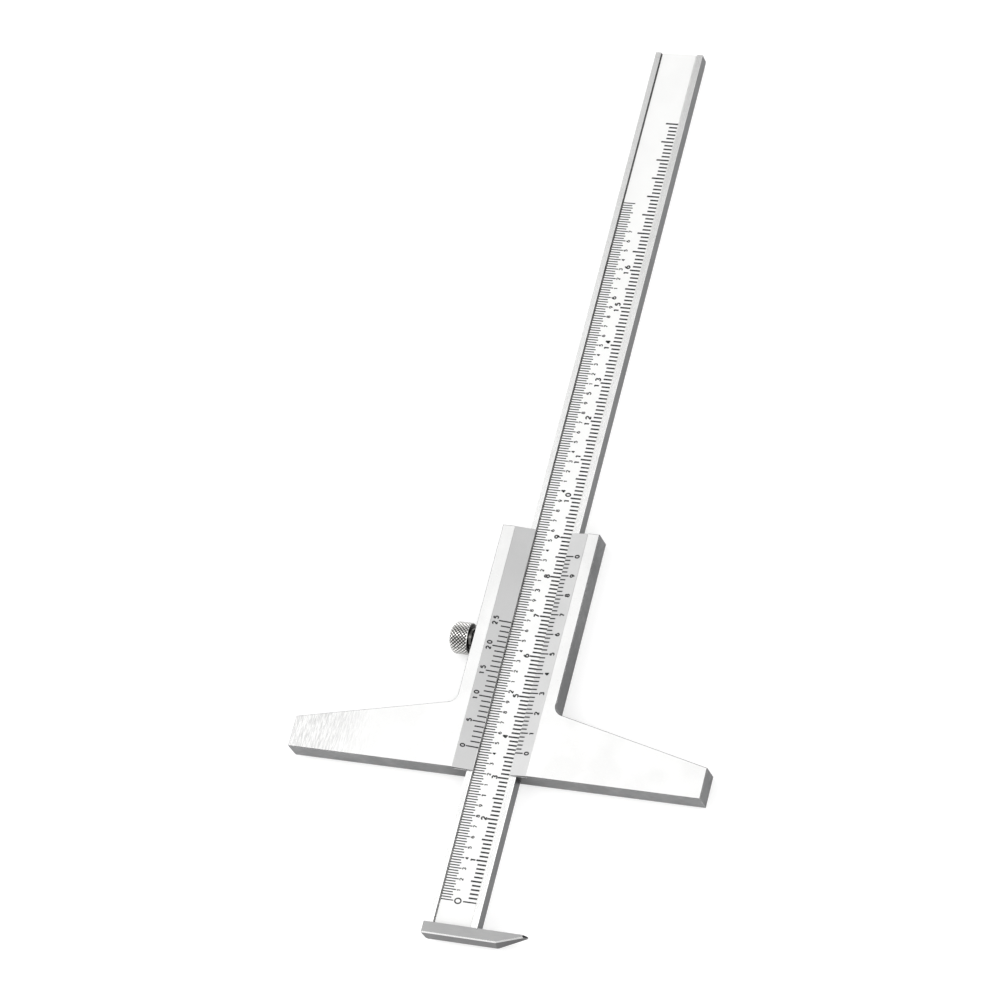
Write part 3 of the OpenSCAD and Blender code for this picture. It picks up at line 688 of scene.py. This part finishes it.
# Beam graduations. Two hundred millimetre lines stand bold along the right of the face, numbered in
# centimetres, and seven inches in fortieths run finer along the left. Both are filled with black.
SCALE_ZERO = -30.6 * MM
INCH = 25.4 * MM
METRIC_RIGHT = 4.2 * MM
MILLIMETRE, FIFTH, LAST_FIFTH, ZERO = 2.05 * MM, 2.55 * MM, 3.1 * MM, 3.15 * MM
METRIC_TICK = 0.40 * MM
ZERO_TICK = 0.32 * MM
CENTIMETRES_AT = 0.85 * MM
CENTIMETRE_HEIGHT = 1.5 * MM
CENTIMETRE_WIDTH = 0.35 * MM
NOUGHT_AT = -0.2 * MM
NOUGHT_HEIGHT = 1.8 * MM
NOUGHT_WIDTH = 0.32 * MM
NOUGHT_SQUEEZE = 0.86
INCH_LEFT = -4.28 * MM
TENTH, TWENTIETH, FORTIETH = 2.95 * MM, 2.6 * MM, 2.35 * MM
INCH_TICK = 0.26 * MM
INCHES_AT, TENTHS_AT = -0.55 * MM, -0.68 * MM
INCHES_HEIGHT, TENTHS_HEIGHT = 1.3 * MM, 1.0 * MM
INCHES_WIDTH, TENTHS_WIDTH = 0.29 * MM, 0.22 * MM


def on_face(x):
    """The height of the graduated face, the same at every x."""
    return np.full(x.shape, face_z)


marks = Marks()
step = np.arange(1, 201)
length = np.where(step % 5 == 0, np.where(step <= 160, FIFTH, LAST_FIFTH), MILLIMETRE)
marks.lines(METRIC_RIGHT - length, METRIC_RIGHT, SCALE_ZERO + step * MM, METRIC_TICK)
marks.lines([METRIC_RIGHT - ZERO], [METRIC_RIGHT], [SCALE_ZERO], ZERO_TICK)
marks.number("0", NOUGHT_AT, SCALE_ZERO, NOUGHT_HEIGHT, NOUGHT_WIDTH, squeeze=NOUGHT_SQUEEZE)
for value in range(1, 17):
    marks.number(str(value), CENTIMETRES_AT, SCALE_ZERO + 10 * value * MM, CENTIMETRE_HEIGHT,
                 CENTIMETRE_WIDTH)
marks.lay("metric_scale_marks", "beam", on_face)

marks = Marks()
step = np.arange(281)
length = np.where(step % 4 == 0, TENTH, np.where(step % 2 == 0, TWENTIETH, FORTIETH))
marks.lines(INCH_LEFT, INCH_LEFT + length, SCALE_ZERO + step * INCH / 40, INCH_TICK)
for value in range(1, 68):
    y = SCALE_ZERO + value * INCH / 10
    if value % 10 == 0:
        marks.number(str(value // 10), INCHES_AT, y, INCHES_HEIGHT, INCHES_WIDTH)
    else:
        marks.number(str(value % 10), TENTHS_AT, y, TENTHS_HEIGHT, TENTHS_WIDTH)
marks.lay("inch_scale_marks", "beam", on_face)


# Hook foot. A ground bar of hardened steel across the beam's end, pinned over its tenon. It is duller
# than the beam and ground along its length. Its walls and nose are darker copies of its steel, painted
# shade, and its chamfers and broken edges carry a painted highlight.
HOOK_BREAK = 0.04 * MM
hook_front = worked_metal("ground_hook_front", (0.36, 0.36, 0.36), 0.32, (500, 9000, 9000), contrast=0.08)
shaded_hook_wall = worked_metal("hook_wall_painted_shade", (0.128, 0.128, 0.13), 0.34, (500, 9000, 9000),
                         contrast=0.14, clouds=0.2)
shaded_hook_nose = worked_metal("hook_nose_painted_shade", (0.04, 0.04, 0.042), 0.30, (500, 9000, 9000),
                         contrast=0.3, clouds=0.3)
hook_edge_highlight = worked_metal("hook_edge_painted_highlight", (0.86, 0.86, 0.855), 0.25, (2500, 2500, 2500), contrast=0.05)
nose_edge_highlight = worked_metal("nose_edge_painted_highlight", (0.68, 0.68, 0.675), 0.30, (2500, 2500, 2500), contrast=0.05)


def hook_slots(nx, ny, nz):
    """The front and back 0; the nose's walls 3, painted shade; its front slope 4 and the lower front slope 2,
    painted highlight; the rest 1, painted shade.
    """
    kinds = [np.abs(nz) > 0.9, nx > 0.4, (nz > 0.4) & (nx > 0.1), (nz > 0.4) & (ny < -0.4), nx > 0.25]
    return np.select(kinds, [0, 3, 4, 2, 3], 1)


hook = eased_copy("hook_foot", "ground_hook_foot", [hook_front, shaded_hook_wall, hook_edge_highlight, shaded_hook_nose, nose_edge_highlight],
                  hook_slots, 2, HOOK_BREAK)
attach(hook, "beam")
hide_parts("hook_foot")
refinish("hook_pins", turned_steel)
refinish("beam_stop_screw", turned_steel)


# Studio. The gauge lies on its back on a pale sheet under a soft tent of light, brightest overhead and
# to the left and falling off beyond the beam's upper end. The camera stands right of and below it.
FLOOR_COLOUR = (0.56, 0.56, 0.56)
FLOOR_GLOW = 0.53
FLOOR_REACH = 4.0
# Each stretch of the light: from and to, as shares of the direction looked in, and the levels at the two.
TENT_ABOVE = (0.385, 0.50, 1.0, 0.44)
TENT_LEFT = (-0.95, -0.1, 1.50, 1.02)
TENT_BELOW = (-0.24, -0.14, 0.80, 1.0)
TENT_RIM = (0.40, 0.50, 1.0, 0.0)
STRIP_FROM = (-0.19, -0.11, 0.0, 1.35)
STRIP_TO = (0.13, 0.22, 1.0, 0.0)
LAMP_SIZE, LAMP_POWER = 0.9, 2.0
LAMP_PLACE, LAMP_AIM = (0.95, -0.55, 0.85), (0.0, 0.06, 0.0)
CAMERA_PLACE = (0.34428, -0.29852, 0.84852)
CAMERA_AIM = (-0.01681, 0.06861, 0.0008)
CAMERA_ROLL = -34.06
CAMERA_LENS, CAMERA_SENSOR = 152.95, 36.0
CAMERA_CLIP = (0.05, 20.0)

sheet = bpy.data.materials.new("pale_sheet")
sheet.use_nodes = True
tree = sheet.node_tree
surface = tree.nodes["Principled BSDF"]
surface.inputs["Base Color"].default_value = (*FLOOR_COLOUR, 1)
surface.inputs["Roughness"].default_value = 0.9
surface.inputs["Emission Color"].default_value = (1, 1, 1, 1)
rays = tree.nodes.new("ShaderNodeLightPath").outputs
seen = maths(tree, "MAXIMUM", "camera or glossy ray", rays["Is Camera Ray"], rays["Is Glossy Ray"])
seen = maths(tree, "MAXIMUM", "or transmission ray", seen, rays["Is Transmission Ray"])
glow = maths(tree, "MULTIPLY", "glow", seen, FLOOR_GLOW)
tree.links.new(glow, surface.inputs["Emission Strength"])
floor_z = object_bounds()[0].z
corners = [(x * FLOOR_REACH, y * FLOOR_REACH, floor_z) for x, y in ((-1, -1), (1, -1), (1, 1), (-1, 1))]
mesh = bpy.data.meshes.new("floor")
mesh.from_pydata(corners, [], [(0, 1, 2, 3)])
mesh.materials.append(sheet)
floor = bpy.data.objects.new("floor", mesh)
bpy.context.scene.collection.objects.link(floor)

world = bpy.data.worlds.new("light_tent")
bpy.context.scene.world = world
world.use_nodes = True
tree = world.node_tree
direction = tree.nodes.new("ShaderNodeTexCoord").outputs["Generated"]
part = shade(tree, "ShaderNodeSeparateXYZ", "direction", Vector=direction).outputs
upper = spread(tree, part["Y"], *TENT_ABOVE)
leftward = spread(tree, part["X"], *TENT_LEFT)
opening = spread(tree, part["Y"], *TENT_BELOW)
lower = maths(tree, "MAXIMUM", "open below, bright at the rim", opening, spread(tree, part["Z"], *TENT_RIM))
tent = maths(tree, "MULTIPLY", "tent", upper, maths(tree, "MULTIPLY", "sides", leftward, lower))
rise, fall = spread(tree, part["Y"], *STRIP_FROM), spread(tree, part["Y"], *STRIP_TO)
strip = maths(tree, "MULTIPLY", "strip light overhead", rise, fall)
level = maths(tree, "ADD", "tent and strip light", tent, strip)
rays = tree.nodes.new("ShaderNodeLightPath").outputs
strength = shade(tree, "ShaderNodeMix", "white behind the gauge",
                 Factor=rays["Is Camera Ray"], A=level, B=1.0)
tree.links.new(strength.outputs["Result"], tree.nodes["Background"].inputs["Strength"])
tree.nodes["Background"].inputs["Color"].default_value = (1, 1, 1, 1)

lamp = bpy.data.lights.new("softbox", "AREA")
lamp.shape, lamp.size, lamp.energy = "SQUARE", LAMP_SIZE, LAMP_POWER
softbox = bpy.data.objects.new("softbox", lamp)
softbox.location = LAMP_PLACE
softbox.rotation_euler = (Vector(LAMP_AIM) - Vector(LAMP_PLACE)).to_track_quat("-Z", "Y").to_euler()
bpy.context.scene.collection.objects.link(softbox)

camera = bpy.data.objects.new("camera", bpy.data.cameras.new("camera"))
camera.data.lens, camera.data.sensor_width = CAMERA_LENS, CAMERA_SENSOR
camera.data.clip_start, camera.data.clip_end = CAMERA_CLIP
forward = Vector(CAMERA_AIM) - Vector(CAMERA_PLACE)
turned = forward.to_track_quat("-Z", "Y").to_matrix() @ Matrix.Rotation(math.radians(CAMERA_ROLL), 3, "Z")
camera.matrix_world = Matrix.Translation(CAMERA_PLACE) @ turned.to_4x4()
bpy.context.scene.collection.objects.link(camera)
bpy.context.scene.camera = camera
bpy.context.scene.view_settings.view_transform = "Standard"
